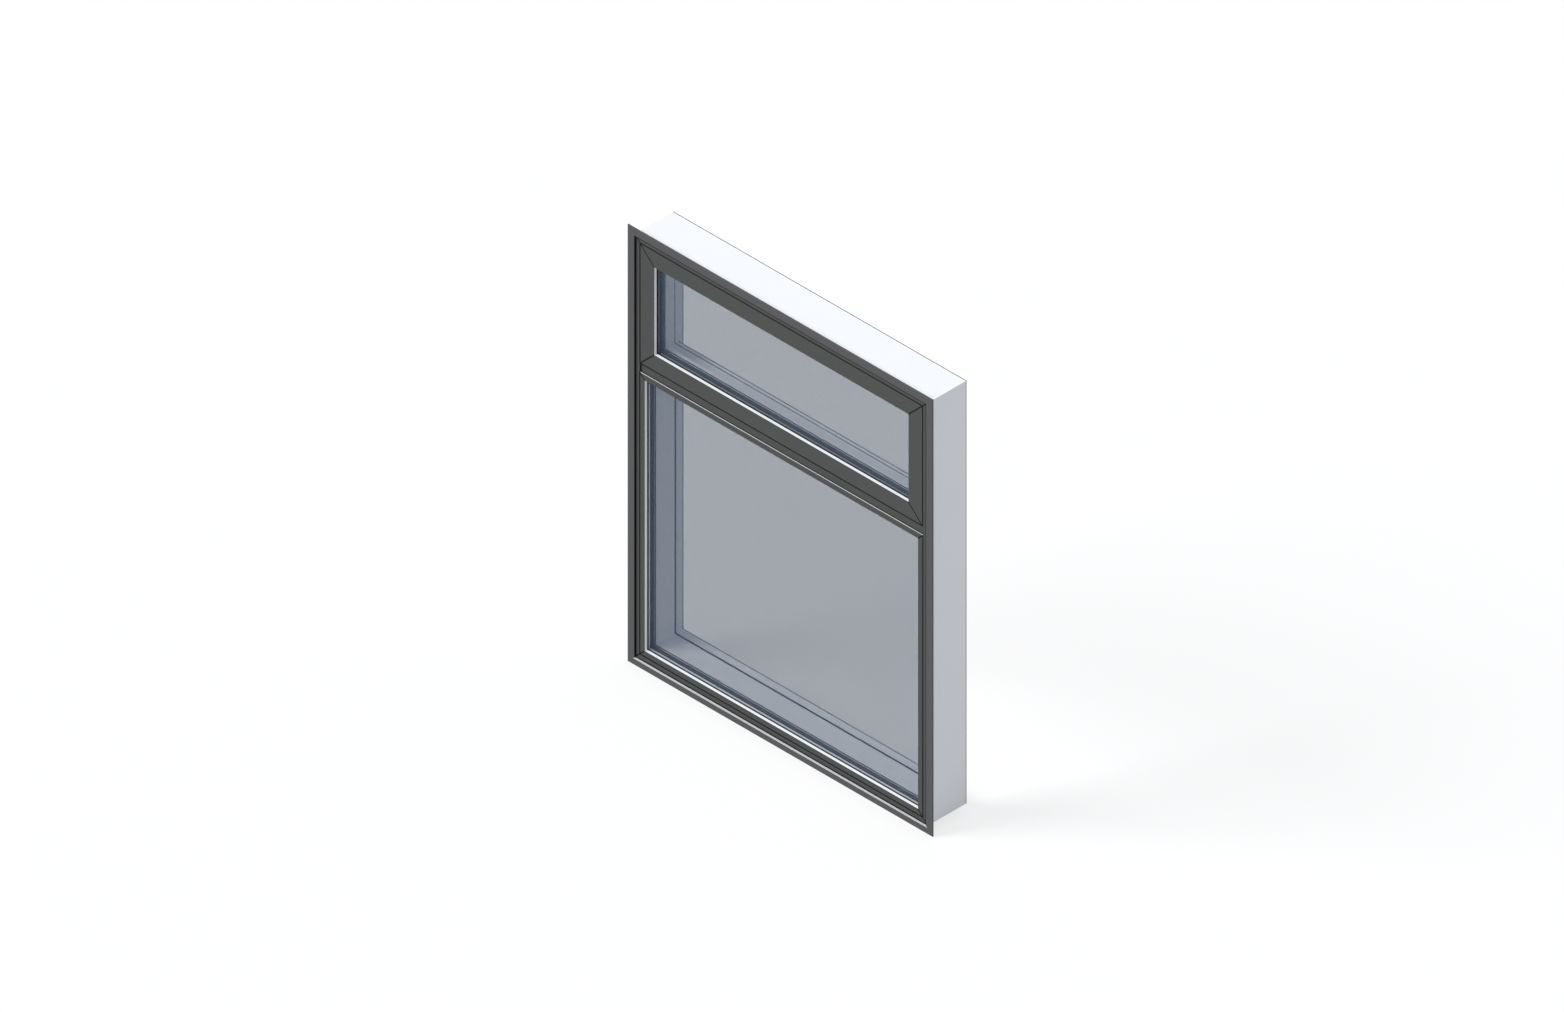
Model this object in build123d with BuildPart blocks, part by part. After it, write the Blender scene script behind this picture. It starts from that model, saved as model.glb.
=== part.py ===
from build123d import *
import os

# Window with a transom light, for a wall opening of 1.2 m by 1.5 m.
# A fixed light stands below a transom bar and a mitred sash fills the transom above it.
# A flange laps the outer face of the wall, and a deep frame and liner run through the wall.
#
# Frame of the model: X runs to the right seen from outside, Y runs into the wall, Z is up.
# The origin is on the back of the bottom flange, halfway up its lap and halfway along it.
# "Inward" is measured from the outer edge of a member towards the glass.

# driving sizes of the frame, in millimetres
frame_width = 1200
frame_height = 1500
frame_front_width = 20      # inward width of the face beside the rebate
frame_depth = 125
rebate_width = 20           # inward width of the rebate for sash or glazing bead
fixed_light_height = 960    # clear height between sill and transom bar

# flange that laps the wall
flange_lap = 25
flange_thickness = 4
flange_leg_thickness = 2
flange_leg_depth = 8
drip_rise = 6               # sloping drip edge on top of the bottom flange
flange_edge_radius = 0.8

# coated covers on the outer faces
cover_setback = 1           # face of the covers behind the back of the flange
cover_thickness = 2
cover_hook_thickness = 1.6
cover_hook_depth = 6
cover_edge_radius = 0.8

# transom bar
bar_web = 31
bar_setback = 5             # bar's cover behind the other covers
bar_liner_depth = 15

# liner that finishes the reveal on the inside
liner_depth = 35
shadow_groove = 4

# sash of the transom light
sash_gap = 2
sash_width = 57
sash_depth = 60
sash_reveal_gap = 4         # between the sash's back and the reveal

# glazing
glass_setback = 14          # outer face of the glass behind the back of the flange
pane_thickness = 4
outer_cavity = 6
inner_cavity = 12
glass_edge_gap = 2          # round the edge of the glass
spacer_width = 8
bead_foot_thickness = 4
bead_foot_depth = 16
bead_edge_chamfer = 1

# places worked out from the sizes above
frame_sight = frame_front_width + rebate_width
flange_bottom = -flange_lap / 2
frame_bottom = flange_lap / 2
frame_top = frame_bottom + frame_height
flange_top = frame_top + flange_lap
frame_half = frame_width / 2
flange_half = frame_half + flange_lap
cover_back = cover_setback + cover_thickness
bar_height = bar_web + 2 * rebate_width
bar_bottom = frame_bottom + frame_sight + fixed_light_height
bar_top = bar_bottom + bar_height
liner_back = frame_depth + liner_depth
stop_depth = glass_setback + 3 * pane_thickness + outer_cavity + inner_cavity
glass_bite = rebate_width - bead_foot_thickness - glass_edge_gap
sash_seat = sash_width - glass_bite - glass_edge_gap
sash_tail = rebate_width - sash_gap + sash_reveal_gap


class Opening:
    """A rectangle centred on X, seen from outside."""

    def __init__(self, half, bottom, top):
        self.half = half
        self.bottom = bottom
        self.top = top

    def shrunk(self, inset):
        return Opening(self.half - inset, self.bottom + inset, self.top - inset)

    def corners(self):
        lower = (-self.half, 0, self.bottom), (self.half, 0, self.bottom)
        upper = (-self.half, 0, self.top), (self.half, 0, self.top)
        return [Vector(*place) for place in lower + upper]

    def side(self, name):
        """Start corner, direction along the member, direction inward and length."""
        lower_left, lower_right, upper_left, upper_right = self.corners()
        width = 2 * self.half
        height = self.top - self.bottom
        return {
            "top": (upper_left, Vector(1, 0, 0), Vector(0, 0, -1), width),
            "bottom": (lower_right, Vector(-1, 0, 0), Vector(0, 0, 1), width),
            "left": (lower_left, Vector(0, 0, 1), Vector(1, 0, 0), height),
            "right": (upper_right, Vector(0, 0, -1), Vector(-1, 0, 0), height),
        }[name]


flange_outline = Opening(flange_half, flange_bottom, flange_top)
frame_outline = Opening(frame_half, frame_bottom, frame_top)
rebate_half = frame_half - frame_front_width
fixed_rebate = Opening(
    rebate_half, frame_bottom + frame_front_width, bar_bottom + rebate_width
)
transom_rebate = Opening(
    rebate_half, bar_top - rebate_width, frame_top - frame_front_width
)
sash_outline = transom_rebate.shrunk(sash_gap)
fixed_sight = fixed_rebate.shrunk(rebate_width)
sash_sight = sash_outline.shrunk(sash_width)


def finish(piece, label):
    piece.label = label
    export_step(piece, f"parts/{label}.step")


def mitred_member(outline, side, profile, edge_radius=0, back_chamfer=0):
    """A straight member on one side of an opening, with both ends cut at 45 degrees.

    The profile's points are (inward, depth). A radius rounds its foremost corners,
    and a chamfer takes off its rearmost inward corner.
    """
    start, along, inward, length = outline.side(side)
    with BuildPart() as member:
        with BuildSketch(Plane(origin=start, x_dir=inward, z_dir=along)) as section:
            with BuildLine():
                Polyline(*profile, close=True)
            make_face()
            if edge_radius:
                fillet(section.vertices().group_by(Axis.Y)[0], radius=edge_radius)
            if back_chamfer:
                rearmost = section.vertices().group_by(Axis.Y)[-1]
                chamfer(rearmost.sort_by(Axis.X)[-1], length=back_chamfer)
        extrude(amount=length)
        split(bisect_by=Plane(origin=start, z_dir=along - inward), keep=Keep.TOP)
        far_end = start + along * length
        split(bisect_by=Plane(origin=far_end, z_dir=-along - inward), keep=Keep.TOP)
    return member.part


def mitred_ring(outline, labels, profile, **finishing):
    """Four mitred members of one profile; labels maps a side to its node."""
    for side, label in labels.items():
        finish(mitred_member(outline, side, profile, **finishing), label)


def sides(prefix, top="top", bottom="bottom", left="left", right="right"):
    names = {"top": top, "bottom": bottom, "left": left, "right": right}
    return {side: f"{prefix}_{name}" for side, name in names.items()}


def flange_profile():
    """L-shaped fin: its lap on the wall, and a leg let into the frame's outer edge."""
    leg_inner = flange_lap + flange_leg_thickness
    return [
        (0, -flange_thickness),
        (leg_inner, -flange_thickness),
        (leg_inner, flange_leg_depth),
        (flange_lap, flange_leg_depth),
        (flange_lap, 0),
        (0, 0),
    ]


def drip_flange_profile():
    """The bottom flange slopes down to the front, so that rain runs off the frame."""
    leg_inner = flange_lap + flange_leg_thickness
    return [
        (0, -flange_thickness),
        (leg_inner - drip_rise, -flange_thickness),
        (leg_inner, cover_setback),
        (leg_inner, flange_leg_depth),
        (flange_lap, flange_leg_depth),
        (flange_lap, 0),
        (0, 0),
    ]


def frame_profile():
    """Deep body with a notch for the flange's leg, one for the cover's hook, and the rebate."""
    hook_side = frame_front_width - cover_hook_thickness
    hook_end = cover_back + cover_hook_depth
    return [
        (flange_leg_thickness, cover_back),
        (hook_side, cover_back),
        (hook_side, hook_end),
        (frame_front_width, hook_end),
        (frame_front_width, stop_depth),
        (frame_sight, stop_depth),
        (frame_sight, frame_depth),
        (0, frame_depth),
        (0, flange_leg_depth),
        (flange_leg_thickness, flange_leg_depth),
    ]


def frame_cover_profile():
    """Thin cover whose inward edge hooks into the rebate."""
    hook_side = frame_front_width - cover_hook_thickness
    hook_end = cover_back + cover_hook_depth
    return [
        (flange_leg_thickness, cover_setback),
        (frame_front_width, cover_setback),
        (frame_front_width, hook_end),
        (hook_side, hook_end),
        (hook_side, cover_back),
        (flange_leg_thickness, cover_back),
    ]


def sash_profile():
    """Body that closes on the frame's stop, with the glass seated behind its outer lip."""
    hook_end = cover_back + cover_hook_depth
    return [
        (cover_hook_thickness, cover_back),
        (sash_width, cover_back),
        (sash_width, glass_setback),
        (sash_seat, glass_setback),
        (sash_seat, sash_depth),
        (sash_tail, sash_depth),
        (sash_tail, stop_depth),
        (0, stop_depth),
        (0, hook_end),
        (cover_hook_thickness, hook_end),
    ]


def sash_cover_profile():
    """Wide cover of the sash, hooked round its outer edge."""
    hook_end = cover_back + cover_hook_depth
    return [
        (0, cover_setback),
        (sash_width, cover_setback),
        (sash_width, cover_back),
        (cover_hook_thickness, cover_back),
        (cover_hook_thickness, hook_end),
        (0, hook_end),
    ]


def sash_bead_profile():
    """Inner bead that holds the glass in the sash."""
    return [
        (sash_seat, stop_depth),
        (sash_width, stop_depth),
        (sash_width, sash_depth),
        (sash_seat, sash_depth),
    ]


def fixed_bead_profile():
    """Outer bead of the fixed light, with a foot that grips the side of the rebate."""
    foot_end = glass_setback + bead_foot_depth
    return [
        (0, cover_setback),
        (rebate_width, cover_setback),
        (rebate_width, glass_setback),
        (bead_foot_thickness, glass_setback),
        (bead_foot_thickness, foot_end),
        (0, foot_end),
    ]


def liner_profile():
    return [
        (0, frame_depth),
        (frame_sight, frame_depth),
        (frame_sight, liner_back),
        (0, liner_back),
    ]


def grooved_liner_profile():
    """Liner with a shadow groove where it meets the frame."""
    return [
        (0, frame_depth),
        (frame_sight - shadow_groove, frame_depth),
        (frame_sight - shadow_groove, frame_depth + shadow_groove),
        (frame_sight, frame_depth + shadow_groove),
        (frame_sight, liner_back),
        (0, liner_back),
    ]


def make_flange():
    names = sides("flange")
    drip_name = {"bottom": names.pop("bottom")}
    mitred_ring(flange_outline, names, flange_profile(), edge_radius=flange_edge_radius)
    mitred_ring(
        flange_outline, drip_name, drip_flange_profile(), edge_radius=flange_edge_radius
    )


def make_frame():
    names = sides("frame", "head", "sill", "jamb_left", "jamb_right")
    mitred_ring(frame_outline, names, frame_profile())
    names = sides("frame_cover", "head", "sill")
    mitred_ring(frame_outline, names, frame_cover_profile(), edge_radius=cover_edge_radius)


def make_transom_bar():
    """Bar between the jambs: a web in front and a full-height back, butted to the jambs."""
    middle = (bar_bottom + bar_top) / 2
    bar_cover_face = cover_setback + bar_setback
    web_front = bar_cover_face + cover_thickness
    web_length = 2 * rebate_half
    back_length = frame_width - 2 * frame_sight
    with BuildPart() as bar:
        with BuildSketch(Plane.XZ.offset(-web_front)):
            with Locations((0, middle)):
                Rectangle(web_length, bar_web)
        extrude(amount=-(stop_depth - web_front))
        with BuildSketch(Plane.XZ.offset(-stop_depth)):
            with Locations((0, middle)):
                Rectangle(back_length, bar_height)
        extrude(amount=-(frame_depth - stop_depth))
    finish(bar.part, "transom_bar")

    with BuildPart() as cover:
        with BuildSketch(Plane.XZ.offset(-bar_cover_face)):
            with Locations((0, middle)):
                Rectangle(web_length, bar_web)
        extrude(amount=-cover_thickness)
    finish(cover.part, "transom_bar_cover")

    with BuildPart() as liner:
        with BuildSketch(Plane.XZ.offset(-frame_depth)):
            with Locations((0, middle)):
                Rectangle(back_length, bar_height)
        extrude(amount=-bar_liner_depth)
        with BuildSketch(Plane.XZ.offset(-frame_depth)):
            with Locations((0, bar_bottom + shadow_groove / 2)):
                Rectangle(back_length, shadow_groove)
        extrude(amount=-shadow_groove, mode=Mode.SUBTRACT)
    finish(liner.part, "transom_bar_liner")


def make_liner():
    """Plain beside the transom light, and grooved along the sill and beside the fixed light."""
    finish(mitred_member(frame_outline, "top", liner_profile()), "liner_head")
    finish(mitred_member(frame_outline, "bottom", grooved_liner_profile()), "liner_sill")
    reveal_half = frame_half - frame_sight
    groove_bottom = frame_bottom + frame_sight - shadow_groove
    groove_middle = (groove_bottom + bar_bottom + shadow_groove) / 2
    groove_height = bar_bottom + shadow_groove - groove_bottom
    for side, direction in (("left", -1), ("right", 1)):
        plain = mitred_member(frame_outline, side, liner_profile())
        with BuildPart() as jamb:
            add(plain)
            with BuildSketch(Plane.XZ.offset(-frame_depth)):
                with Locations((direction * (reveal_half + shadow_groove / 2), groove_middle)):
                    Rectangle(shadow_groove, groove_height)
            extrude(amount=-shadow_groove, mode=Mode.SUBTRACT)
        finish(jamb.part, f"liner_jamb_{side}")


def make_sash():
    names = sides("sash", "top_rail", "bottom_rail", "stile_left", "stile_right")
    mitred_ring(sash_outline, names, sash_profile())
    mitred_ring(
        sash_outline, sides("sash_cover"), sash_cover_profile(), edge_radius=cover_edge_radius
    )
    mitred_ring(
        sash_outline, sides("sash_bead"), sash_bead_profile(), back_chamfer=bead_edge_chamfer
    )


def make_fixed_beads():
    mitred_ring(
        fixed_rebate, sides("fixed_bead"), fixed_bead_profile(), edge_radius=cover_edge_radius
    )


def upright_slab(opening, front, thickness):
    """A flat sheet that fills the opening, from its front depth backwards."""
    with BuildPart() as slab:
        with BuildSketch(Plane.XZ.offset(-front)):
            with Locations((0, (opening.bottom + opening.top) / 2)):
                Rectangle(2 * opening.half, opening.top - opening.bottom)
        extrude(amount=-thickness)
    return slab.part


def make_glazing(prefix, sight):
    """A sealed unit of three panes, with two spacer rings whose inner edges are in sight."""
    glass_edge = sight.shrunk(-glass_bite)
    pane_fronts = {
        "outer": glass_setback,
        "middle": glass_setback + pane_thickness + outer_cavity,
        "inner": stop_depth - pane_thickness,
    }
    for name, front in pane_fronts.items():
        finish(upright_slab(glass_edge, front, pane_thickness), f"{prefix}_pane_{name}")

    spacer_edge = sight.shrunk(-spacer_width)
    cavities = (("outer", "outer", outer_cavity), ("inner", "middle", inner_cavity))
    for name, pane_in_front, cavity in cavities:
        front = pane_fronts[pane_in_front] + pane_thickness
        with BuildPart() as spacer:
            add(upright_slab(spacer_edge, front, cavity))
            add(upright_slab(sight, front, cavity), mode=Mode.SUBTRACT)
        finish(spacer.part, f"{prefix}_spacer_{name}")


os.makedirs("parts", exist_ok=True)
make_flange()
make_frame()
make_transom_bar()
make_liner()
make_sash()
make_fixed_beads()
make_glazing("fixed", fixed_sight)
make_glazing("sash", sash_sight)
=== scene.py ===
"""Finishes, seals and stage for a window with a transom light.

Everything is in metres. X runs to the right seen from outside, Y runs into the wall, Z is up.
"""

import math
from typing import NamedTuple

import bmesh
import bpy
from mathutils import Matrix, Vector


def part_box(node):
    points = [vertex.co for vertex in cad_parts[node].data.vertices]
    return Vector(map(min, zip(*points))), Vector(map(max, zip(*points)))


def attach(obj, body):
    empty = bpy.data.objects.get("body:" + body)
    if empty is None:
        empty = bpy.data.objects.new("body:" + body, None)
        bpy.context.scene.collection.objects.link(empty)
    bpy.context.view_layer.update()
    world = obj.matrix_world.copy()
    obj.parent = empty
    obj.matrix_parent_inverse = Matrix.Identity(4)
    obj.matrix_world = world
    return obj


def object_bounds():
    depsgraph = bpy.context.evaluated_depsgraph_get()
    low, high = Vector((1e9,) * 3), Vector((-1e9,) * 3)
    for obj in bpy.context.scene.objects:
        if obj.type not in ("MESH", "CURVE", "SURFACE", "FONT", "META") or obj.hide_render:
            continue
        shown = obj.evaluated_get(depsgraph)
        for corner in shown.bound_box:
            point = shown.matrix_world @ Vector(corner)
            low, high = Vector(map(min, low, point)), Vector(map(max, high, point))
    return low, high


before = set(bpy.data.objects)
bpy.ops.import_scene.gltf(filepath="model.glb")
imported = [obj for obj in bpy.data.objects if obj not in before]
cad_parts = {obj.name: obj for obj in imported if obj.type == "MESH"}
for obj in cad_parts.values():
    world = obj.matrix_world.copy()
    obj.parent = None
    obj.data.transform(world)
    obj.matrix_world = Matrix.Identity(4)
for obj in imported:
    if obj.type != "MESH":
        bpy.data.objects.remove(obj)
cad_box = [list(corner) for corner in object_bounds()]

bl_info = {
    "name": "Window with Transom",
    "version": (1, 0, 0),
    "blender": (4, 5, 0),
    "location": "3D View > Sidebar > Window",
    "description": "Finishes, seals and stage for a window with a transom light",
    "category": "Object",
}

BODY = "root"
MILLIMETRE = 0.001
SIDES = ("top", "bottom", "left", "right")
COVER_ENDS = ("head", "sill", "left", "right")
FRAME_ENDS = ("head", "sill", "jamb_left", "jamb_right")
SASH_ENDS = ("top_rail", "bottom_rail", "stile_left", "stile_right")
PANES = ("outer", "middle", "inner")
LIGHTS = ("fixed", "sash")
OUTSIDE = Vector((0.0, -1.0, 0.0))
INSIDE = Vector((0.0, 1.0, 0.0))

# Sides of a rectangle: 0 is the foot, 1 the right, 2 the head and 3 the left.
ALL_ROUND = (0, 1, 2, 3)
FOOT = (0,)
ALL_BUT_FOOT = (1, 2, 3)
ALL_BUT_HEAD = (3, 0, 1)

# Where each colour of a coat starts, on a scale from 0 for a face that looks inward, by 0.5
# for one seen edge-on, to 1 for one that looks outward.
EDGE_START = 0.25
FACE_START = 0.575
# The slope's colour is painted light: a paler shade for a face that tilts upward.
PAINTED_LIGHT_SLOPE_START = 0.75
FACE_PAST_SLOPE_START = 0.95

# Textures are drawn out fifty times along an extruded member.
EXTRUDED_STRETCH = 0.02
# Share of the flange bead's width that is flat on top.
BEAD_FLAT = 0.6
# Grey of the floor for the light that it throws back, and for the camera.
FLOOR_THROWN = 0.5
FLOOR_SHOWN = 0.95


def length_property(name, millimetres, description):
    return bpy.props.FloatProperty(
        name=name,
        description=description,
        default=millimetres * MILLIMETRE,
        min=0.0,
        precision=4,
        unit="LENGTH",
    )


def colour_property(name, colour, description):
    return bpy.props.FloatVectorProperty(
        name=name,
        description=description,
        default=colour,
        size=3,
        min=0.0,
        max=1.0,
        subtype="COLOR",
    )


def share_property(name, share, description):
    return bpy.props.FloatProperty(
        name=name, description=description, default=share, min=0.0, max=1.0, subtype="FACTOR"
    )


class WindowFinishes(bpy.types.PropertyGroup):
    """Colours of the window's finishes, as linear light."""

    flange_grey: colour_property(
        "Flange", (0.073, 0.073, 0.076), "Coat on the front of the flange"
    )
    # Painted light: the drip edge's slope gets a paler grey for the light that a face tilted
    # upward catches.
    drip_slope_painted_light: colour_property(
        "Drip edge", (0.43, 0.435, 0.435), "Sloping drip edge on the bottom flange"
    )
    anthracite: colour_property(
        "Covers", (0.0505, 0.0533, 0.0515), "Coat on the front of covers and beads"
    )
    white: colour_property(
        "White plastic", (0.9, 0.92, 0.94), "Frame, liner and the returns of coated pieces"
    )
    glass: colour_property("Glass tint", (0.0371, 0.0715, 0.1221), "Body tint of each pane")
    glass_cover: share_property(
        "Tint strength", 0.18, "Share of the view that one face of a pane covers"
    )
    spacer_grey: colour_property(
        "Grey spacer", (0.62, 0.64, 0.65), "Outer spacer of the fixed light"
    )
    spacer_mid: colour_property(
        "Sash spacer", (0.2, 0.205, 0.21), "Outer spacer of the transom light"
    )
    spacer_black: colour_property("Black spacer", (0.02, 0.022, 0.024), "Inner spacers")
    rubber: colour_property("Rubber", (0.008, 0.008, 0.009), "Gaskets and seals")
    weld: colour_property("Welded seam", (0.4, 0.41, 0.43), "Seams in the white plastic")


class WindowSeals(bpy.types.PropertyGroup):
    """Sizes of the gaskets, seals and joint lines."""

    gasket_width: length_property("Gasket width", 2.4, "How far a gasket laps the glass")
    gasket_depth: length_property("Gasket depth", 2.4, "How far a gasket stands off the glass")
    gasket_root: length_property("Gasket root", 0.5, "Part of a gasket let into its member")
    seal_depth: length_property("Sash seal depth", 6.0, "Depth of the seal round the sash")
    inner_seal_depth: length_property("Inner seal depth", 3.0, "Depth of the seal on the stop")
    joint_width: length_property("Joint line width", 4.8, "Width of the line where covers meet")
    flange_bead_width: length_property("Flange bead", 3.2, "Width of the seal inside the flange")
    bar_fillet: length_property("Bar fillet", 1.8, "Sealant where the bar meets its neighbours")
    mitre_width: length_property("Mitre line width", 4.2, "Width of the line at a mitre")
    weld_width: length_property("Weld seam width", 2.0, "Width of a seam in white plastic")
    sash_reveal_gap: length_property("Reveal gap", 4.0, "From the sash's back to the reveal")
    groove_width: length_property("Groove width", 4.0, "Width and depth of the shadow groove")
    groove_lap: length_property("Groove strip lap", 1.5, "How far the groove's strip laps over")
    reveal_line_width: length_property("Reveal line width", 3.2, "Width of a line in a reveal")
    lip_width: length_property("Liner lip width", 2.4, "Width of the lip on the liner's edge")
    line_rise: length_property("Line rise", 0.15, "How far a joint line stands proud")
    mitre_rise: length_property("Mitre rise", 0.08, "How far a line at a mitre stands proud")
    line_root: length_property("Line root", 0.4, "How far a joint line is let in")


class WindowStage(bpy.types.PropertyGroup):
    """Camera, lamps and floor."""

    azimuth: bpy.props.FloatProperty(
        name="Azimuth",
        description="Camera's turn round the window, from straight in front",
        default=0.7853982,
        subtype="ANGLE",
    )
    elevation: bpy.props.FloatProperty(
        name="Elevation",
        description="Camera's height above the horizon",
        default=0.6154797,
        subtype="ANGLE",
    )
    view_width: bpy.props.FloatProperty(
        name="View width",
        description="Width of the parallel view",
        default=4.532,
        unit="LENGTH",
    )
    view_target: bpy.props.FloatVectorProperty(
        name="View target",
        description="Point in the middle of the view",
        default=(0.0, 0.004, 0.8457),
        size=3,
        subtype="TRANSLATION",
        unit="LENGTH",
    )
    camera_distance: bpy.props.FloatProperty(
        name="Camera distance",
        description="From the target to the camera",
        default=6.0,
        unit="LENGTH",
    )
    sun_strength: bpy.props.FloatProperty(
        name="Sun strength", description="Strength of the soft lamp", default=2.4, min=0.0
    )
    sun_spread: bpy.props.FloatProperty(
        name="Sun spread",
        description="Angle over which the lamp is spread",
        default=0.5,
        subtype="ANGLE",
    )
    sun_course: bpy.props.FloatVectorProperty(
        name="Sun course",
        description="The way that the lamp's light travels",
        default=(0.45, 0.62, -0.64),
        size=3,
        subtype="DIRECTION",
    )
    sky_strength: bpy.props.FloatProperty(
        name="Sky strength", description="Light from all round", default=0.61, min=0.0
    )
    sky_colour: colour_property("Sky colour", (0.92, 0.945, 1.0), "Tint of the sky's light")
    floor_size: bpy.props.FloatProperty(
        name="Floor size", description="Side of the square floor", default=16.0, unit="LENGTH"
    )
    floor_gap: length_property("Floor gap", 0.5, "From the floor up to the window")
    floor_glow: share_property("Floor glow", 0.72, "Share of the floor's look that never shades")


class Rect(NamedTuple):
    """An upright rectangle seen from outside."""

    left: float
    right: float
    bottom: float
    top: float

    def corners(self, inward=0.0):
        left, right, bottom, top = self.shrunk(inward)
        return [(left, bottom), (right, bottom), (right, top), (left, top)]

    def shrunk(self, inward):
        return Rect(
            self.left + inward, self.right - inward, self.bottom + inward, self.top - inward
        )


def named(prefix, ends):
    return [f"{prefix}_{end}" for end in ends]


def ring_edges(nodes):
    """Outer and inner rectangle of four members, given as top, bottom, left and right."""
    top, bottom, left, right = (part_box(node) for node in nodes)
    outer = Rect(left[0].x, right[1].x, bottom[0].z, top[1].z)
    inner = Rect(left[1].x, right[0].x, bottom[1].z, top[0].z)
    return outer, inner


def transom_reveal():
    """The clear opening behind the sash, between jambs, head and transom bar."""
    return Rect(
        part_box("frame_jamb_left")[1].x,
        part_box("frame_jamb_right")[0].x,
        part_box("transom_bar")[1].z,
        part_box("frame_head")[0].z,
    )


def outline_of(node):
    """The rectangle that one member fills, seen from outside."""
    low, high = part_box(node)
    return Rect(low.x, high.x, low.z, high.z)


def front_of(node):
    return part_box(node)[0].y


def back_of(node):
    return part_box(node)[1].y


def new_piece(name, mesh_maker, material):
    """Makes one piece from a function that fills a bmesh, and seats it on the window."""
    shape = bmesh.new()
    mesh_maker(shape)
    if not shape.faces:
        raise RuntimeError(f"{name} came out without faces")
    bmesh.ops.recalc_face_normals(shape, faces=shape.faces)
    mesh = bpy.data.meshes.new(name)
    shape.to_mesh(mesh)
    shape.free()
    mesh.materials.append(material)
    piece = bpy.data.objects.new(name, mesh)
    bpy.context.scene.collection.objects.link(piece)
    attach(piece, BODY)


def add_ring(shape, rect, profile, sides=ALL_ROUND):
    """A profile of (inward, depth) points carried along sides of a rectangle that follow on."""
    loops = []
    for inward, depth in profile:
        loops.append([shape.verts.new((x, depth, z)) for x, z in rect.corners(inward)])
    count = len(loops)
    for step in range(count):
        near, far = loops[step], loops[(step + 1) % count]
        for corner in sides:
            following = (corner + 1) % len(ALL_ROUND)
            shape.faces.new((near[corner], near[following], far[following], far[corner]))
    if len(sides) < len(ALL_ROUND):
        for corner in (sides[0], (sides[-1] + 1) % len(ALL_ROUND)):
            shape.faces.new([loop[corner] for loop in loops])


def new_ring(name, rect, profile, material, sides=ALL_ROUND):
    """One piece made of a profile carried along sides of a rectangle."""
    new_piece(name, lambda shape: add_ring(shape, rect, profile, sides), material)


def add_line(shape, start, end, width, outward, rise, root):
    """A low crowned strip from start to end, whose crown stands proud along outward."""
    along = (end - start).normalized()
    across = along.cross(outward)
    section = [(-0.5, -root), (-0.5, 0.0), (-0.25, rise), (0.25, rise), (0.5, 0.0), (0.5, -root)]
    rims = []
    for place in (start, end):
        rim = [
            shape.verts.new(place + across * (share * width) + outward * height)
            for share, height in section
        ]
        rims.append(rim)
    count = len(section)
    for step in range(count):
        following = (step + 1) % count
        shape.faces.new((rims[0][step], rims[0][following], rims[1][following], rims[1][step]))
    shape.faces.new(rims[0])
    shape.faces.new(list(reversed(rims[1])))


def add_mitres(shape, outer, inner, depth, width, outward, seals):
    """Lines from the corners of the outer rectangle to those of the inner one."""
    for (x_out, z_out), (x_in, z_in) in zip(outer.corners(), inner.corners()):
        start = Vector((x_out, depth, z_out))
        end = Vector((x_in, depth, z_in))
        add_line(shape, start, end, width, outward, seals.mitre_rise, seals.line_root)


def crowned(depth, seals):
    """Profile of a joint line on an outer face, to be centred on the edge of a rectangle."""
    half = seals.joint_width / 2
    root, crown = depth + seals.line_root, depth - seals.line_rise
    low_side = [(-half, root), (-half, depth), (-half / 2, crown)]
    return low_side + [(-inward, level) for inward, level in reversed(low_side)]


def start_material(name, specular):
    material = bpy.data.materials.new(name)
    material.use_nodes = True
    tree = material.node_tree
    shader = tree.nodes["Principled BSDF"]
    shader.inputs["Specular IOR Level"].default_value = specular
    return material, tree, shader


def noise(tree, scale, stretch=(1.0, 1.0, 1.0), detail=2.0):
    """Noise with so many features a metre; a small stretch draws them out along that axis."""
    place = tree.nodes.new("ShaderNodeTexCoord")
    mapping = tree.nodes.new("ShaderNodeMapping")
    mapping.inputs["Scale"].default_value = stretch
    texture = tree.nodes.new("ShaderNodeTexNoise")
    texture.inputs["Scale"].default_value = scale
    texture.inputs["Detail"].default_value = detail
    tree.links.new(place.outputs["Object"], mapping.inputs["Vector"])
    tree.links.new(mapping.outputs["Vector"], texture.inputs["Vector"])
    return texture.outputs["Fac"]


def ranged(tree, value, low, high):
    node = tree.nodes.new("ShaderNodeMapRange")
    node.inputs["To Min"].default_value = low
    node.inputs["To Max"].default_value = high
    tree.links.new(value, node.inputs["Value"])
    return node.outputs["Result"]


def added(tree, first, second, share):
    """The first height plus a share of the second."""
    node = tree.nodes.new("ShaderNodeMath")
    node.operation = "MULTIPLY_ADD"
    tree.links.new(second, node.inputs[0])
    node.inputs[1].default_value = share
    tree.links.new(first, node.inputs[2])
    return node.outputs[0]


def roughen(tree, shader, value, low, high):
    """Lets a texture move the shader's roughness between low and high."""
    tree.links.new(ranged(tree, value, low, high), shader.inputs["Roughness"])


def raise_surface(tree, shader, height, depth):
    node = tree.nodes.new("ShaderNodeBump")
    node.inputs["Distance"].default_value = depth
    tree.links.new(height, node.inputs["Height"])
    tree.links.new(node.outputs["Normal"], shader.inputs["Normal"])


def only_before(tree, place, value, front):
    """The value in front of that depth, and 0 behind it."""
    parts = tree.nodes.new("ShaderNodeSeparateXYZ")
    before = tree.nodes.new("ShaderNodeMath")
    before.operation = "LESS_THAN"
    before.inputs[1].default_value = front
    product = tree.nodes.new("ShaderNodeMath")
    product.operation = "MULTIPLY"
    tree.links.new(place.outputs["Object"], parts.inputs["Vector"])
    tree.links.new(parts.outputs["Y"], before.inputs[0])
    tree.links.new(before.outputs[0], product.inputs[0])
    tree.links.new(value, product.inputs[1])
    return product.outputs[0]


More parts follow.
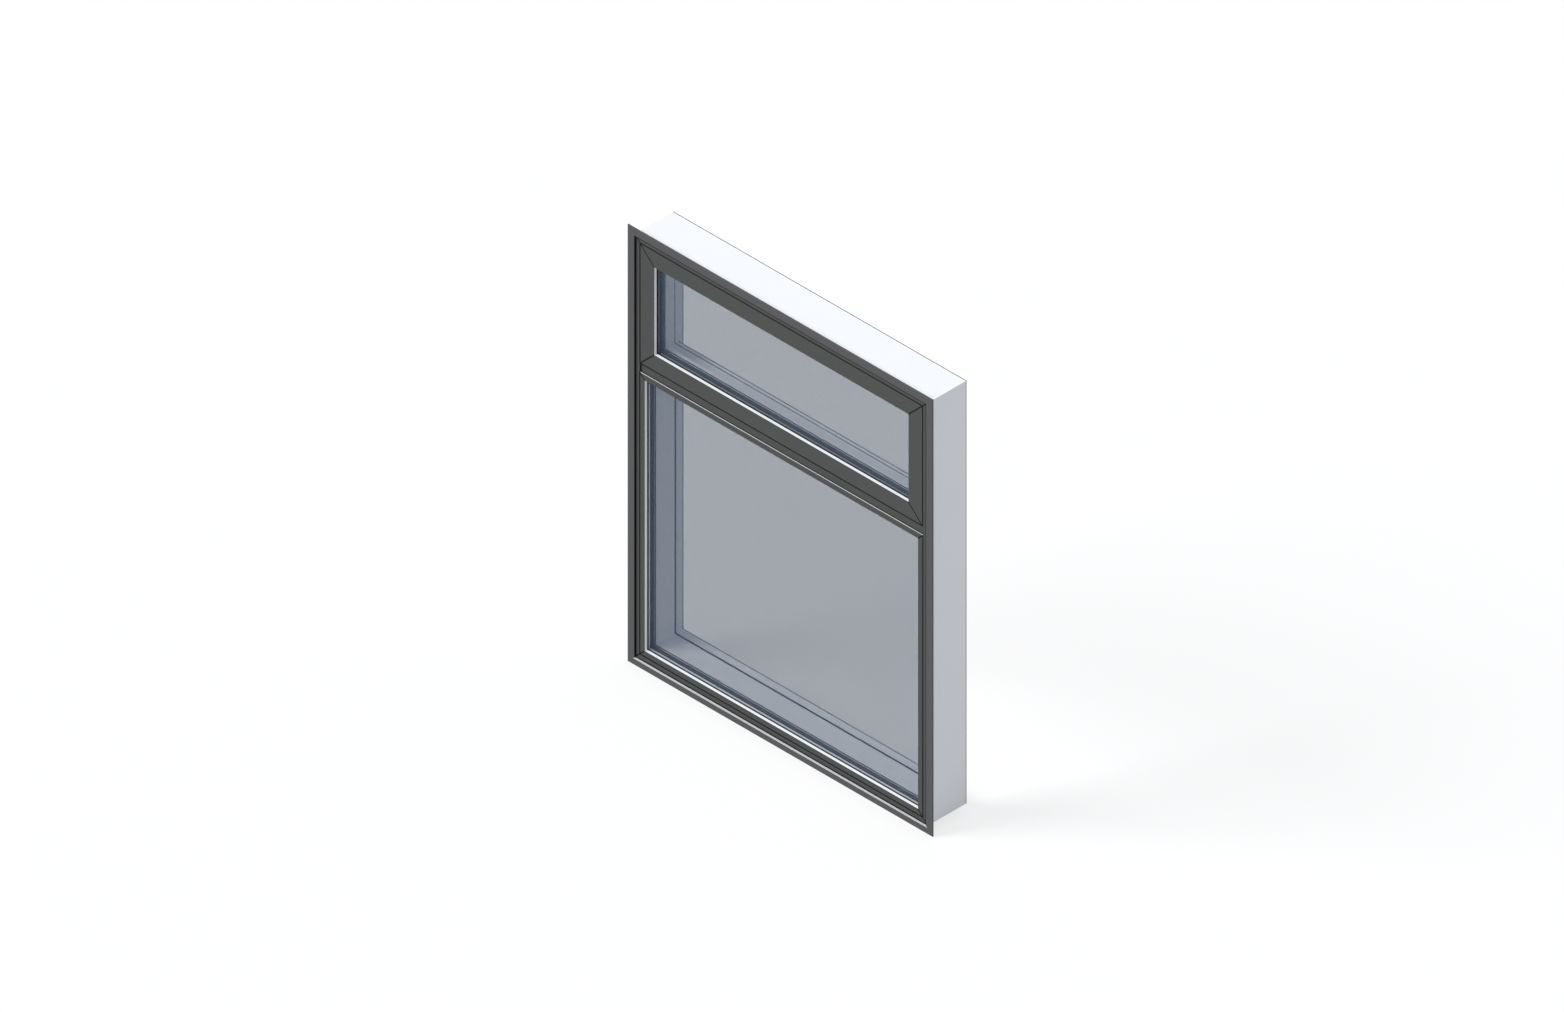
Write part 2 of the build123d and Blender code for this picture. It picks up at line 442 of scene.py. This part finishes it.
def facing_colour(tree, tones, front):
    """A colour by how a face looks, from (share, colour) steps: 0 inward, 0.5 edge-on, 1 outward.

    Where a front depth is given, whatever lies behind it counts as looking inward.
    """
    place = tree.nodes.new("ShaderNodeTexCoord")
    parts = tree.nodes.new("ShaderNodeSeparateXYZ")
    share = tree.nodes.new("ShaderNodeMath")
    share.operation = "MULTIPLY_ADD"
    # The normal's Y goes from 1 inward to -1 outward, and the share from 0 to 1.
    share.inputs[1].default_value = -0.5
    share.inputs[2].default_value = 0.5
    ramp = tree.nodes.new("ShaderNodeValToRGB")
    ramp.color_ramp.interpolation = "CONSTANT"
    stops = ramp.color_ramp.elements
    while len(stops) < len(tones):
        stops.new(1.0)
    for stop, (start, colour) in zip(stops, tones):
        stop.position = start
        stop.color = (*colour, 1.0)
    tree.links.new(place.outputs["Normal"], parts.inputs["Vector"])
    tree.links.new(parts.outputs["Y"], share.inputs[0])
    facing = share.outputs[0]
    if front is not None:
        facing = only_before(tree, place, facing, front)
    tree.links.new(facing, ramp.inputs["Fac"])
    return ramp.outputs["Color"]


def mottle(tree, shader, scale, darkest, stretch=(1.0, 1.0, 1.0)):
    """Slow change in depth over the shader's colour; returns the socket that takes it."""
    mix = tree.nodes.new("ShaderNodeMix")
    mix.data_type = "RGBA"
    mix.blend_type = "MULTIPLY"
    mix.inputs["Factor"].default_value = 1.0
    # These are the node's sockets for colours; the ones for numbers have the same names.
    taken, shade, result = mix.inputs[6], mix.inputs[7], mix.outputs[2]
    tree.links.new(ranged(tree, noise(tree, scale, stretch), darkest, 1.0), shade)
    tree.links.new(result, shader.inputs["Base Color"])
    return taken


def along_member(run):
    """Stretch that draws a texture out along a member that runs in X or in Z."""
    return (EXTRUDED_STRETCH, 1.0, 1.0) if run == "x" else (1.0, 1.0, EXTRUDED_STRETCH)


def powder_coat(name, tones, front, run):
    """Satin powder coat on extruded metal, with the pale returns of its core."""
    material, tree, shader = start_material(name, specular=0.3)
    colour = facing_colour(tree, tones, front)
    tree.links.new(colour, mottle(tree, shader, scale=7.0, darkest=0.94))
    roughen(tree, shader, noise(tree, scale=30.0), low=0.42, high=0.56)
    orange_peel = noise(tree, scale=700.0, detail=1.0)
    drawn_lines = noise(tree, scale=260.0, stretch=along_member(run), detail=1.0)
    skin = added(tree, orange_peel, drawn_lines, share=0.6)
    raise_surface(tree, shader, skin, depth=0.00003)
    return material


def white_plastic(name, white, run):
    """Satin white plastic with faint lines along the extrusion."""
    material, tree, shader = start_material(name, specular=0.4)
    mottle(tree, shader, scale=4.0, darkest=0.97).default_value = (*white, 1.0)
    sheen = noise(tree, scale=25.0, stretch=along_member(run))
    roughen(tree, shader, sheen, low=0.34, high=0.5)
    drawn_lines = noise(tree, scale=320.0, stretch=along_member(run), detail=1.0)
    raise_surface(tree, shader, drawn_lines, depth=0.00003)
    return material


def tinted_glass(name, tint, cover):
    """Clear float glass with a blue-grey body tint and a faint smear."""
    material, tree, shader = start_material(name, specular=0.5)
    mottle(tree, shader, scale=1.6, darkest=0.93).default_value = (*tint, 1.0)
    shader.inputs["Alpha"].default_value = cover
    shader.inputs["IOR"].default_value = 1.5
    roughen(tree, shader, noise(tree, scale=5.0), low=0.03, high=0.09)
    return material


def spacer_bar(name, colour, metallic):
    """Rolled spacer with a fine row of cross ribs."""
    material, tree, shader = start_material(name, specular=0.4)
    mottle(tree, shader, scale=40.0, darkest=0.88).default_value = (*colour, 1.0)
    shader.inputs["Metallic"].default_value = metallic
    roughen(tree, shader, noise(tree, scale=60.0), low=0.4, high=0.6)
    place = tree.nodes.new("ShaderNodeTexCoord")
    ribs = tree.nodes.new("ShaderNodeTexWave")
    ribs.bands_direction = "DIAGONAL"
    ribs.inputs["Scale"].default_value = 210.0
    tree.links.new(place.outputs["Object"], ribs.inputs["Vector"])
    raise_surface(tree, shader, ribs.outputs["Fac"], depth=0.0002)
    return material


def black_rubber(name, colour):
    """Matt rubber with a dusty, slightly pitted skin."""
    material, tree, shader = start_material(name, specular=0.1)
    mottle(tree, shader, scale=120.0, darkest=0.6).default_value = (*colour, 1.0)
    roughen(tree, shader, noise(tree, scale=200.0), low=0.62, high=0.82)
    raise_surface(tree, shader, noise(tree, scale=900.0), depth=0.00005)
    return material


def welded_seam(name, colour):
    """Scraped weld line, a little duller than the plastic beside it."""
    material, tree, shader = start_material(name, specular=0.3)
    mottle(tree, shader, scale=90.0, darkest=0.85).default_value = (*colour, 1.0)
    roughen(tree, shader, noise(tree, scale=150.0), low=0.5, high=0.7)
    raise_surface(tree, shader, noise(tree, scale=500.0), depth=0.00004)
    return material


def once(name, maker, *values):
    """The material of that name, made the first time that it is asked for."""
    return bpy.data.materials.get(name) or maker(name, *values)


def gasket_rubber():
    return once("gasket_rubber", black_rubber, bpy.context.scene.window_finishes.rubber)


def dress(node, material):
    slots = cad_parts[node].material_slots
    if not slots:
        raise RuntimeError(f"{node} has no material slot")
    for slot in slots:
        slot.link = "OBJECT"
        slot.material = material


def run_of(node):
    """X or Z, whichever way the member is longer."""
    low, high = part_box(node)
    return "x" if high.x - low.x > high.z - low.z else "z"


def coat(node, finish_name, colour, returns=None, front=None, painted_slope_light=None):
    """Coats the face that looks outward.

    Edges take the colour given as returns, or else stay white. Where front is given, whatever
    lies behind that depth stays white. A slope between edge and face can take its own colour,
    which is painted light: the paler shade of a face that tilts upward.
    """
    white = bpy.context.scene.window_finishes.white
    tones = [(0.0, white), (EDGE_START, returns or white)]
    if painted_slope_light is None:
        tones.append((FACE_START, colour))
    else:
        tones += [(PAINTED_LIGHT_SLOPE_START, painted_slope_light), (FACE_PAST_SLOPE_START, colour)]
    run = run_of(node)
    dress(node, once(f"{finish_name}_{run}", powder_coat, tones, front, run))


def whiten(node, finish_name):
    finishes = bpy.context.scene.window_finishes
    run = run_of(node)
    dress(node, once(f"{finish_name}_{run}", white_plastic, finishes.white, run))


class WINDOW_PART_OT_flange(bpy.types.Operator):
    """Coats the flange that laps the wall, round its edges too, with painted light on the drip
    edge's slope, which shows paler
    """

    bl_idname = "window_part.flange"
    bl_label = "Flange"

    def execute(self, context):
        finishes = context.scene.window_finishes
        grey = finishes.flange_grey
        wrapped = {"returns": grey, "front": front_of("frame_cover_head")}
        # The drip slope's paler colour is painted light, for the light that the upward slope
        # catches.
        coat("flange_bottom", "drip_flange_coat", grey, painted_slope_light=finishes.drip_slope_painted_light, **wrapped)
        for node in named("flange", ("top", "left", "right")):
            coat(node, "flange_coat", grey, **wrapped)
        return {"FINISHED"}


class WINDOW_PART_OT_covers(bpy.types.Operator):
    """Coats the covers of the frame, the sash and the transom bar"""

    bl_idname = "window_part.covers"
    bl_label = "Covers"

    def execute(self, context):
        colour = context.scene.window_finishes.anthracite
        for node in named("sash_cover", SIDES):
            coat(node, "sash_cover_coat", colour)
        for node in named("frame_cover", COVER_ENDS) + ["transom_bar_cover"]:
            coat(node, "frame_cover_coat", colour, returns=colour)
        return {"FINISHED"}


class WINDOW_PART_OT_fixed_beads(bpy.types.Operator):
    """Coats the outer beads of the fixed light"""

    bl_idname = "window_part.fixed_beads"
    bl_label = "Fixed Beads"

    def execute(self, context):
        for node in named("fixed_bead", SIDES):
            coat(node, "bead_coat", context.scene.window_finishes.anthracite)
        return {"FINISHED"}


class WINDOW_PART_OT_white_frame(bpy.types.Operator):
    """Gives the frame, transom bar, liner and sash their white plastic"""

    bl_idname = "window_part.white_frame"
    bl_label = "White Frame"

    def execute(self, context):
        members = named("frame", FRAME_ENDS) + named("sash", SASH_ENDS)
        for node in members + named("sash_bead", SIDES) + ["transom_bar"]:
            whiten(node, "frame_plastic")
        for node in named("liner", FRAME_ENDS) + ["transom_bar_liner"]:
            whiten(node, "liner_plastic")
        return {"FINISHED"}


class WINDOW_PART_OT_glazing(bpy.types.Operator):
    """Tints the panes of both sealed units and finishes their spacers"""

    bl_idname = "window_part.glazing"
    bl_label = "Glazing"

    def execute(self, context):
        finishes = context.scene.window_finishes
        glass = tinted_glass("tinted_glass", finishes.glass, finishes.glass_cover)
        for light in LIGHTS:
            for node in named(f"{light}_pane", PANES):
                dress(node, glass)
                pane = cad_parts[node]
                pane.visible_shadow = False
                pane.visible_diffuse = False
        grey = spacer_bar("grey_spacer", finishes.spacer_grey, metallic=0.2)
        dress("fixed_spacer_outer", grey)
        mid = spacer_bar("sash_spacer", finishes.spacer_mid, metallic=0.2)
        dress("sash_spacer_outer", mid)
        black = spacer_bar("black_spacer", finishes.spacer_black, metallic=0.0)
        for light in LIGHTS:
            dress(f"{light}_spacer_inner", black)
        return {"FINISHED"}


def gasket_profile(seals, glass, towards):
    """Wedge gasket on the glass: a rounded lip that falls from its member to the pane."""
    tip = seals.gasket_width
    height = seals.gasket_depth * towards
    crown = [(0.0, 1.0), (0.3, 1.0), (0.55, 0.85), (0.78, 0.55), (0.93, 0.25), (1.0, 0.0)]
    lip = [(across * tip, glass + share * height) for across, share in crown]
    return [(-seals.gasket_root, glass), (-seals.gasket_root, glass + height), *lip]


class WINDOW_PART_OT_gaskets(bpy.types.Operator):
    """Adds the black gaskets that hold the glass, outside and inside"""

    bl_idname = "window_part.gaskets"
    bl_label = "Glazing Gaskets"

    def execute(self, context):
        seals = context.scene.window_seals
        rubber = gasket_rubber()
        sights = {"fixed": named("fixed_bead", SIDES), "sash": named("sash_cover", SIDES)}
        for light, members in sights.items():
            sight = ring_edges(members)[1]
            outer_glass = front_of(f"{light}_pane_outer")
            inner_glass = back_of(f"{light}_pane_inner")
            for place, glass, towards in (("outer", outer_glass, -1), ("inner", inner_glass, 1)):
                profile = gasket_profile(seals, glass, towards)
                new_ring(f"{light}_gasket_{place}", sight, profile, rubber)
        return {"FINISHED"}


class WINDOW_PART_OT_sash_seals(bpy.types.Operator):
    """Adds the seal in the gap round the sash and the one on the stop behind it"""

    bl_idname = "window_part.sash_seals"
    bl_label = "Sash Seals"

    def execute(self, context):
        seals = context.scene.window_seals
        rubber = gasket_rubber()
        sash = ring_edges(named("sash_cover", SIDES))[0]
        rebate = Rect(
            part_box("frame_cover_left")[1].x,
            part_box("frame_cover_right")[0].x,
            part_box("transom_bar_cover")[1].z,
            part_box("frame_cover_head")[0].z,
        )
        gap = sash.left - rebate.left
        face = front_of("sash_cover_top")
        back = face + seals.seal_depth
        core = [(0.0, face), (gap, face), (gap, back), (0.0, back)]
        middle = sash.shrunk(-gap / 2)
        lap = seals.joint_width / 2
        inner_edge = middle.shrunk(lap)
        foot = sash.bottom + lap / 2
        foot_start = Vector((inner_edge.left, face, foot))
        foot_end = Vector((inner_edge.right, face, foot))

        def lipped_seal(shape):
            add_ring(shape, rebate, core)
            add_ring(shape, middle, crowned(face, seals), ALL_BUT_FOOT)
            add_line(
                shape, foot_start, foot_end, lap, OUTSIDE, seals.line_rise, seals.line_root
            )

        new_piece("sash_seal_outer", lipped_seal, rubber)

        stop = back_of("sash_pane_inner")
        lip = seals.sash_reveal_gap
        inner_seal = [
            (0.0, stop),
            (0.0, stop + seals.inner_seal_depth),
            (lip / 2, stop + seals.inner_seal_depth),
            (lip, stop + seals.inner_seal_depth / 2),
            (lip, stop),
        ]
        new_ring("sash_seal_inner", transom_reveal(), inner_seal, rubber)
        return {"FINISHED"}


class WINDOW_PART_OT_joint_lines(bpy.types.Operator):
    """Adds the dark lines where covers, beads and flange meet, and at their mitres"""

    bl_idname = "window_part.joint_lines"
    bl_label = "Joint Lines"

    def execute(self, context):
        seals = context.scene.window_seals
        rubber = once("joint_sealant", black_rubber, context.scene.window_finishes.rubber)
        beads = ring_edges(named("fixed_bead", SIDES))
        covers = ring_edges(named("frame_cover", COVER_ENDS))
        sash = ring_edges(named("sash_cover", SIDES))
        face = front_of("frame_cover_head")
        joint = crowned(face, seals)
        new_ring("fixed_bead_joint", beads[0], joint, rubber, sides=ALL_BUT_HEAD)

        foot = seals.joint_width / 2
        foot_fillet = [(0.0, face), (0.0, face - foot), (foot, face)]
        width = seals.flange_bead_width
        crown = front_of("flange_top") + seals.line_root
        shoulder = (width * BEAD_FLAT, crown)
        bead = [(0.0, face), (0.0, crown), shoulder, (width, crown + foot / 2), (width, face)]

        def flange_joint(shape):
            add_ring(shape, covers[0], foot_fillet, FOOT)
            add_ring(shape, covers[0], bead, ALL_BUT_FOOT)

        new_piece("flange_joint", flange_joint, rubber)

        fillet = seals.bar_fillet
        bar_face = front_of("transom_bar_cover")
        bar_joint = [(0.0, bar_face), (0.0, bar_face - fillet), (fillet, bar_face)]
        new_ring("transom_bar_joint", outline_of("transom_bar_cover"), bar_joint, rubber)

        corner_sets = {
            "frame_cover_mitres": covers,
            "fixed_bead_mitres": beads,
            "sash_cover_mitres": sash,
        }
        for name, (outer, inner) in corner_sets.items():
            new_piece(
                name,
                lambda shape: add_mitres(
                    shape, outer, inner, face, seals.mitre_width, OUTSIDE, seals
                ),
                rubber,
            )
        return {"FINISHED"}


class WINDOW_PART_OT_weld_seams(bpy.types.Operator):
    """Adds the seams of the white plastic: welded corners, and the joint of the sash's beads"""

    bl_idname = "window_part.weld_seams"
    bl_label = "Weld Seams"

    def execute(self, context):
        seals = context.scene.window_seals
        weld = once("weld_line", welded_seam, context.scene.window_finishes.weld)
        half = seals.weld_width / 2
        liner_edge, reveal = ring_edges(named("liner", FRAME_ENDS))
        liner_back = back_of("liner_head")
        bead_edge, sight = ring_edges(named("sash_bead", SIDES))
        sash_back = back_of("sash_bead_top")
        sash_edge = transom_reveal().shrunk(seals.sash_reveal_gap)
        corner_sets = {
            "liner_corner_seams": (liner_edge.shrunk(half), reveal, liner_back, "liner_white"),
            "sash_corner_seams": (sash_edge, sight, sash_back, "frame_white"),
        }
        for name, (outer, inner, depth, slot) in corner_sets.items():
            new_piece(
                name,
                lambda shape: add_mitres(
                    shape, outer, inner, depth, seals.weld_width, INSIDE, seals
                ),
                weld,
            )

        bead_line = [
            (-half, sash_back - seals.line_root),
            (-half, sash_back),
            (0.0, sash_back + seals.line_rise),
            (half, sash_back),
            (half, sash_back - seals.line_root),
        ]
        new_ring("sash_bead_seam", bead_edge, bead_line, weld)
        return {"FINISHED"}


class WINDOW_PART_OT_liner_seals(bpy.types.Operator):
    """Adds the strip in the shadow groove, the dark lines of the reveals and the liner's lip"""

    bl_idname = "window_part.liner_seals"
    bl_label = "Liner Seals"

    def execute(self, context):
        seals = context.scene.window_seals
        rubber = gasket_rubber()
        sight = ring_edges(named("fixed_bead", SIDES))[1]
        front = back_of("frame_head")
        back = front + seals.groove_width
        floor = -seals.groove_width
        lap, root, rise = seals.groove_lap, -seals.line_root, seals.line_rise
        strip = [
            (floor, front),
            (root, front),
            (root, front - lap),
            (0.0, front - lap),
            (rise, front),
            (rise, back),
            (0.0, back + lap),
            (root, back + lap),
            (root, back),
            (floor, back),
        ]
        new_ring("groove_strip", sight, strip, rubber)

        half = seals.reveal_line_width / 2
        reveal_line = [
            (root, front - half),
            (0.0, front - half),
            (rise, front),
            (0.0, front + half),
            (root, front + half),
        ]
        new_ring("transom_reveal_joint", transom_reveal(), reveal_line, rubber)

        edge, reveal = ring_edges(named("liner", FRAME_ENDS))
        liner_back = back_of("liner_head")
        lip = [
            (seals.line_root, liner_back - seals.lip_width),
            (0.0, liner_back - seals.lip_width),
            (-seals.line_rise, liner_back - seals.lip_width / 2),
            (0.0, liner_back),
            (seals.line_root, liner_back),
        ]
        new_ring("liner_edge_lip", edge, lip, rubber)

        bar = outline_of("transom_bar_liner")
        arrises = {
            "reveal_edge_line": (reveal, liner_back, -1),
            "bar_edge_line": (bar, back_of("transom_bar_liner"), 1),
        }
        for name, (rect, depth, inward) in arrises.items():
            root = seals.line_root * inward
            rise = -seals.line_rise * inward
            start = depth - seals.reveal_line_width
            line = [(root, start), (0.0, start), (rise, depth - half), (0.0, depth), (root, depth)]
            new_ring(name, rect, line, rubber)
        return {"FINISHED"}


def seen_directly(tree):
    """1 for rays from the camera, mirrors and glass, which see the plain background."""
    path = tree.nodes.new("ShaderNodeLightPath")
    seen = path.outputs["Is Camera Ray"]
    for name in ("Is Glossy Ray", "Is Transmission Ray"):
        larger = tree.nodes.new("ShaderNodeMath")
        larger.operation = "MAXIMUM"
        tree.links.new(seen, larger.inputs[0])
        tree.links.new(path.outputs[name], larger.inputs[1])
        seen = larger.outputs[0]
    return seen


def floor_material(glow):
    """Pale floor that shows white, with a faint shadow, and throws little light back."""
    material = bpy.data.materials.new("pale_floor")
    material.use_nodes = True
    tree = material.node_tree
    tree.nodes.clear()
    output = tree.nodes.new("ShaderNodeOutputMaterial")
    dull = tree.nodes.new("ShaderNodeBsdfDiffuse")
    dull.inputs["Color"].default_value = (FLOOR_THROWN, FLOOR_THROWN, FLOOR_THROWN, 1.0)
    pale = tree.nodes.new("ShaderNodeBsdfDiffuse")
    pale.inputs["Color"].default_value = (FLOOR_SHOWN, FLOOR_SHOWN, FLOOR_SHOWN, 1.0)
    white = tree.nodes.new("ShaderNodeEmission")
    shown = tree.nodes.new("ShaderNodeMixShader")
    shown.inputs["Fac"].default_value = glow
    choice = tree.nodes.new("ShaderNodeMixShader")
    tree.links.new(pale.outputs[0], shown.inputs[1])
    tree.links.new(white.outputs[0], shown.inputs[2])
    tree.links.new(seen_directly(tree), choice.inputs["Fac"])
    tree.links.new(dull.outputs[0], choice.inputs[1])
    tree.links.new(shown.outputs[0], choice.inputs[2])
    tree.links.new(choice.outputs[0], output.inputs["Surface"])
    return material


def light_sky(scene, colour, strength):
    """World that lights softly from all round and shows as plain white."""
    world = bpy.data.worlds.new("studio")
    world.use_nodes = True
    tree = world.node_tree
    tree.nodes.clear()
    output = tree.nodes.new("ShaderNodeOutputWorld")
    soft = tree.nodes.new("ShaderNodeBackground")
    soft.inputs["Strength"].default_value = strength
    soft.inputs["Color"].default_value = (*colour, 1.0)
    shown = tree.nodes.new("ShaderNodeBackground")
    shown.inputs["Color"].default_value = (1.0, 1.0, 1.0, 1.0)
    choice = tree.nodes.new("ShaderNodeMixShader")
    tree.links.new(seen_directly(tree), choice.inputs["Fac"])
    tree.links.new(soft.outputs[0], choice.inputs[1])
    tree.links.new(shown.outputs[0], choice.inputs[2])
    tree.links.new(choice.outputs[0], output.inputs["Surface"])
    scene.world = world


class WINDOW_PART_OT_stage(bpy.types.Operator):
    """Sets up the camera, the soft lamp, the sky and the pale floor"""

    bl_idname = "window_part.stage"
    bl_label = "Stage"

    def execute(self, context):
        scene = context.scene
        stage = scene.window_stage
        scene.view_settings.view_transform = "Standard"

        level = math.cos(stage.elevation)
        x, y = math.sin(stage.azimuth) * level, -math.cos(stage.azimuth) * level
        towards_camera = Vector((x, y, math.sin(stage.elevation)))
        camera = bpy.data.objects.new("camera", bpy.data.cameras.new("camera"))
        camera.data.type = "ORTHO"
        camera.data.ortho_scale = stage.view_width
        camera.location = Vector(stage.view_target) + towards_camera * stage.camera_distance
        camera.rotation_euler = towards_camera.to_track_quat("Z", "Y").to_euler()
        scene.collection.objects.link(camera)
        scene.camera = camera

        lamp = bpy.data.lights.new("soft_sun", "SUN")
        lamp.energy = stage.sun_strength
        lamp.angle = stage.sun_spread
        sun = bpy.data.objects.new("soft_sun", lamp)
        sun.rotation_euler = Vector(stage.sun_course).to_track_quat("-Z", "Y").to_euler()
        scene.collection.objects.link(sun)
        light_sky(scene, stage.sky_colour, stage.sky_strength)

        half = stage.floor_size / 2
        floor_height = cad_box[0][2] - stage.floor_gap
        corners = [(-half, -half), (half, -half), (half, half), (-half, half)]
        mesh = bpy.data.meshes.new("floor")
        mesh.from_pydata([(*corner, floor_height) for corner in corners], [], [(0, 1, 2, 3)])
        mesh.materials.append(floor_material(stage.floor_glow))
        floor = bpy.data.objects.new("floor", mesh)
        scene.collection.objects.link(floor)
        return {"FINISHED"}


OPERATORS = (
    WINDOW_PART_OT_stage,
    WINDOW_PART_OT_flange,
    WINDOW_PART_OT_covers,
    WINDOW_PART_OT_fixed_beads,
    WINDOW_PART_OT_white_frame,
    WINDOW_PART_OT_glazing,
    WINDOW_PART_OT_gaskets,
    WINDOW_PART_OT_sash_seals,
    WINDOW_PART_OT_joint_lines,
    WINDOW_PART_OT_weld_seams,
    WINDOW_PART_OT_liner_seals,
)


class WINDOW_PART_PT_sidebar(bpy.types.Panel):
    """Lists the steps that finish the window, and their sizes and colours"""

    bl_idname = "WINDOW_PART_PT_sidebar"
    bl_label = "Window with Transom"
    bl_space_type = "VIEW_3D"
    bl_region_type = "UI"
    bl_category = "Window"

    def draw(self, context):
        for group in SETTINGS:
            box = self.layout.box()
            settings = getattr(context.scene, group)
            for name in settings.bl_rna.properties.keys():
                if name not in ("rna_type", "name"):
                    box.prop(settings, name)
        for operator in OPERATORS:
            self.layout.operator(operator.bl_idname)


SETTINGS = {
    "window_finishes": WindowFinishes,
    "window_seals": WindowSeals,
    "window_stage": WindowStage,
}
CLASSES = (*SETTINGS.values(), *OPERATORS, WINDOW_PART_PT_sidebar)


def register():
    for cls in CLASSES:
        bpy.utils.register_class(cls)
    for name, group in SETTINGS.items():
        setattr(bpy.types.Scene, name, bpy.props.PointerProperty(type=group))


def unregister():
    for name in SETTINGS:
        delattr(bpy.types.Scene, name)
    for cls in reversed(CLASSES):
        bpy.utils.unregister_class(cls)


def main():
    register()
    bpy.ops.window_part.stage()
    bpy.ops.window_part.flange()
    bpy.ops.window_part.covers()
    bpy.ops.window_part.fixed_beads()
    bpy.ops.window_part.white_frame()
    bpy.ops.window_part.glazing()
    bpy.ops.window_part.gaskets()
    bpy.ops.window_part.sash_seals()
    bpy.ops.window_part.joint_lines()
    bpy.ops.window_part.weld_seams()
    bpy.ops.window_part.liner_seals()


if __name__ == "__main__":
    main()
